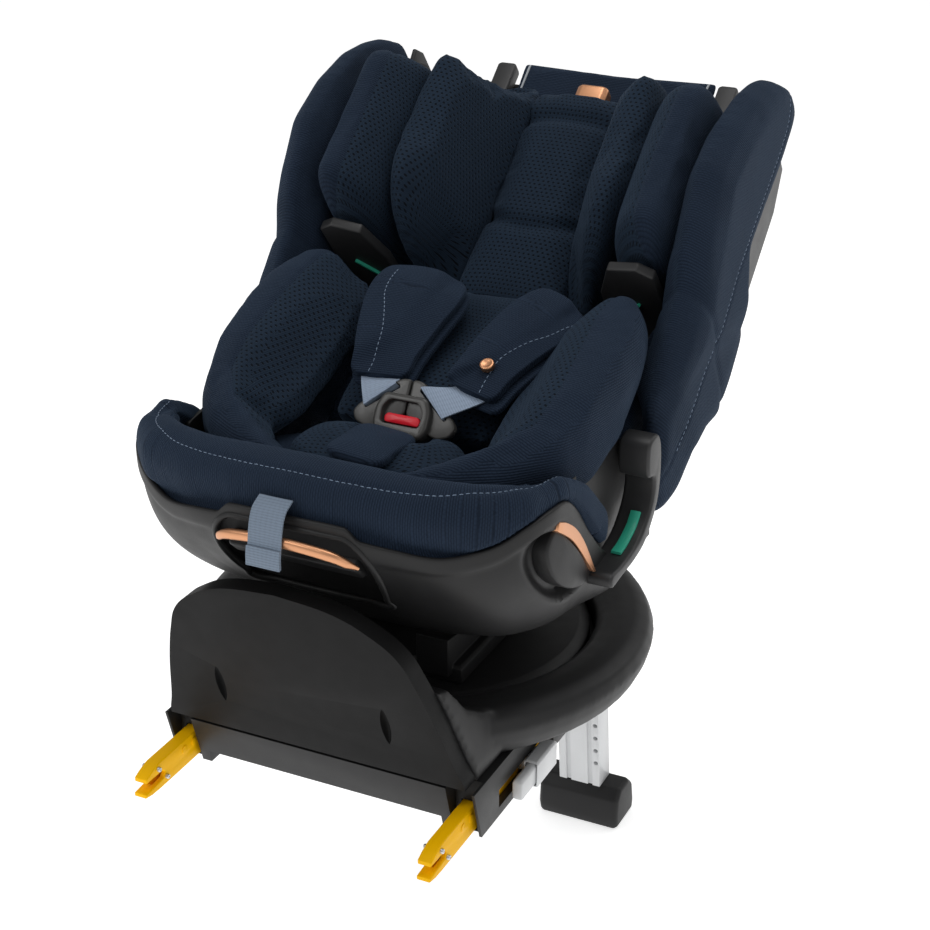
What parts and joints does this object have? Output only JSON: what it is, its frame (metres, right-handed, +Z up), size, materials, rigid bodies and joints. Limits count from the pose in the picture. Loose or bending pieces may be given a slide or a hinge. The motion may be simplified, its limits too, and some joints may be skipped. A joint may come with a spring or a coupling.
{
  "type": "convertible car seat",
  "caption": "Padded child car seat with harness and sliding headrest, reclining on a turntable base with rebound panel, anchor connectors and a folding support leg.",
  "frame": {"origin": "centre of the connector end of the base's flat underside", "axes": "+X across the seat, -Y towards the anchor connectors and the rebound panel, +Y towards the support leg, +Z up"},
  "size_m": [0.442, 0.7759, 0.9855],
  "materials": {
    "plastic": "satin moulded",
    "dark_plastic": "satin moulded",
    "grey_plastic": "satin moulded",
    "light_plastic": "satin moulded",
    "yellow_plastic": "glossy moulded",
    "steel": "bare",
    "copper": "metallised",
    "fabric": "ribbed knit over foam",
    "mesh": "perforated knit over foam",
    "webbing": "woven tape",
    "red_plastic": "glossy moulded",
    "green_plastic": "satin moulded"
  },
  "bodies": {
    "base": {"base_tray": "plastic", "rebound_panel": "plastic", "base_ring": "plastic", "leg_hinge_pin": "steel"},
    "leg": {"leg_housing": "dark_plastic"},
    "leg_release": {"leg_release_button": "green_plastic"},
    "leg_lower": {"leg_inner_tube": "light_plastic", "leg_foot": "dark_plastic"},
    "anchor_right": {"connector_right": "yellow_plastic", "adjuster_block_right": "light_plastic"},
    "anchor_left": {"connector_left": "yellow_plastic", "adjuster_block_left": "light_plastic"},
    "latch_right": {"connector_latch_right": "steel"},
    "latch_left": {"connector_latch_left": "steel"},
    "anchor_release_right": {"adjuster_button_right": "light_plastic"},
    "anchor_release_left": {"adjuster_button_left": "light_plastic"},
    "turntable": {"turntable_disc": "dark_plastic", "recline_carriage": "dark_plastic"},
    "seat": {"seat_shell": "plastic", "side_crescent_right": "copper", "side_crescent_left": "copper", "side_arm_right": "dark_plastic", "side_arm_left": "dark_plastic", "back_shell": "plastic", "side_plate_right": "grey_plastic", "side_plate_left": "grey_plastic", "top_cover": "fabric", "back_rail_right": "grey_plastic", "back_rail_left": "grey_plastic", "side_wing_right": "fabric", "side_wing_left": "fabric", "seat_cover": "fabric", "seat_pad": "fabric", "insert_seat": "mesh", "insert_side_right": "mesh", "insert_side_left": "mesh", "insert_back": "mesh", "back_cover": "fabric", "shoulder_pad_right": "fabric", "shoulder_pad_left": "fabric", "pad_badge": "copper", "buckle": "grey_plastic", "tongue_right": "grey_plastic", "tongue_left": "grey_plastic", "shoulder_strap_right": "webbing", "shoulder_strap_left": "webbing", "crotch_pad": "fabric", "adjuster_strap": "webbing"},
    "handle": {"front_handle_bar": "copper"},
    "lever": {"front_lever": "dark_plastic"},
    "spin_release_right": {"side_button_right": "dark_plastic"},
    "spin_release_left": {"side_button_left": "dark_plastic"},
    "harness_release": {"buckle_button": "red_plastic"},
    "headrest": {"headrest_frame": "grey_plastic", "headrest_centre": "mesh", "headrest_petal_right": "mesh", "headrest_petal_left": "mesh", "headrest_wing_right": "mesh", "headrest_wing_left": "mesh"},
    "headrest_grip": {"headrest_handle": "copper"}
  },
  "joints": [
    {"name": "leg_fold", "type": "hinge", "parent": "base", "child": "leg", "pos_m": [0, 0.548, 0.028], "axis": [-1, 0, 0], "range_deg": [0, 96.7]},
    {"name": "leg_extension", "type": "slide", "parent": "leg", "child": "leg_lower", "axis": [0, 0.1167, -0.9932], "range_m": [-0.08, 0.04]},
    {"name": "leg_release_press", "type": "slide", "parent": "leg", "child": "leg_release", "axis": [0, 0.9932, 0.1167], "range_m": [0, 0.0025], "stiffness_N_per_m": 800, "springref_m": -0.002},
    {"name": "turntable_spin", "type": "hinge", "parent": "base", "child": "turntable", "pos_m": [0, 0.165, 0.066], "axis": [0, 0, 1], "continuous": true},
    {"name": "recline", "type": "hinge", "parent": "turntable", "child": "seat", "pos_m": [0, 0.12, 0.52], "axis": [1, 0, 0], "range_deg": [0, 12]},
    {"name": "headrest_height", "type": "slide", "parent": "seat", "child": "headrest", "axis": [0, 0.766, 0.6428], "range_m": [0, 0.15]},
    {"name": "headrest_grip_pull", "type": "slide", "parent": "headrest", "child": "headrest_grip", "axis": [0, 0.766, 0.6428], "range_m": [0, 0.006], "stiffness_N_per_m": 600, "springref_m": -0.002},
    {"name": "front_handle_press", "type": "slide", "parent": "seat", "child": "handle", "axis": [0, 1, 0], "range_m": [0, 0.006], "stiffness_N_per_m": 800, "springref_m": -0.002},
    {"name": "recline_lever_lift", "type": "slide", "parent": "seat", "child": "lever", "axis": [0, 0, 1], "range_m": [0, 0.006], "stiffness_N_per_m": 800, "springref_m": -0.002},
    {"name": "buckle_press", "type": "slide", "parent": "seat", "child": "harness_release", "axis": [0, 0.8517, -0.5241], "range_m": [0, 0.003], "stiffness_N_per_m": 1000, "springref_m": -0.002},
    {"name": "anchor_slide_right", "type": "slide", "parent": "base", "child": "anchor_right", "axis": [0, -1, 0], "range_m": [-0.035, 0.05]},
    {"name": "latch_turn_right", "type": "hinge", "parent": "anchor_right", "child": "latch_right", "pos_m": [0.14, -0.07, 0.0215], "axis": [1, 0, 0], "range_deg": [0, 20], "stiffness_Nm_per_rad": 0.02, "springref_deg": -5.73},
    {"name": "anchor_release_press_right", "type": "slide", "parent": "anchor_right", "child": "anchor_release_right", "axis": [0, 1, 0], "range_m": [0, 0.006], "stiffness_N_per_m": 600, "springref_m": -0.002},
    {"name": "spin_release_press_right", "type": "slide", "parent": "seat", "child": "spin_release_right", "axis": [-1, 0, 0], "range_m": [0, 0.003], "stiffness_N_per_m": 800, "springref_m": -0.002},
    {"name": "anchor_slide_left", "type": "slide", "parent": "base", "child": "anchor_left", "axis": [0, -1, 0], "range_m": [-0.035, 0.05]},
    {"name": "latch_turn_left", "type": "hinge", "parent": "anchor_left", "child": "latch_left", "pos_m": [-0.14, -0.07, 0.0215], "axis": [1, 0, 0], "range_deg": [0, 20], "stiffness_Nm_per_rad": 0.02, "springref_deg": -5.73},
    {"name": "anchor_release_press_left", "type": "slide", "parent": "anchor_left", "child": "anchor_release_left", "axis": [0, 1, 0], "range_m": [0, 0.006], "stiffness_N_per_m": 600, "springref_m": -0.002},
    {"name": "spin_release_press_left", "type": "slide", "parent": "seat", "child": "spin_release_left", "axis": [1, 0, 0], "range_m": [0, 0.003], "stiffness_N_per_m": 800, "springref_m": -0.002}
  ]
}
